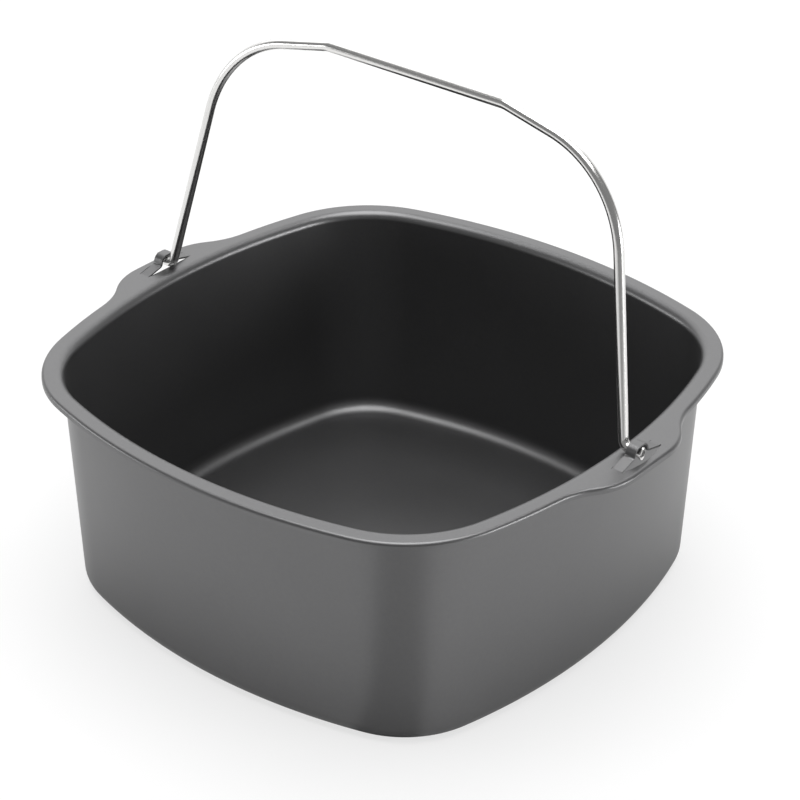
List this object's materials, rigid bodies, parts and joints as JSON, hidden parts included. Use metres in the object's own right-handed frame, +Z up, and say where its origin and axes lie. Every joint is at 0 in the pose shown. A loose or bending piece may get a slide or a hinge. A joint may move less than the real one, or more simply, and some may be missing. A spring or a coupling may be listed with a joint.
{
  "type": "air fryer cake pan",
  "caption": "Square drawn-steel cake pan with rounded corners, a flat rim with ears and a swinging wire bail, for baking in an air fryer basket.",
  "frame": {"origin": "centre of the underside of the pan's flat floor", "axes": "+Z up out of the pan's mouth, +X along the bail's hinge line from one ear to the other, +Y to the side that the bail leans towards at rest"},
  "size_m": [0.1876, 0.176, 0.1566],
  "materials": {
    "coated_steel": "satin dark grey non-stick coating",
    "bright_wire": "polished stainless steel wire"
  },
  "bodies": {
    "pan": {"pan": "coated_steel"},
    "bail": {"bail_handle": "bright_wire"}
  },
  "joints": [
    {"name": "bail_swing", "type": "hinge", "parent": "pan", "child": "bail", "pos_m": [0, 0, 0.0736], "axis": [1, 0, 0], "range_deg": [-80.5, 98.9]}
  ]
}
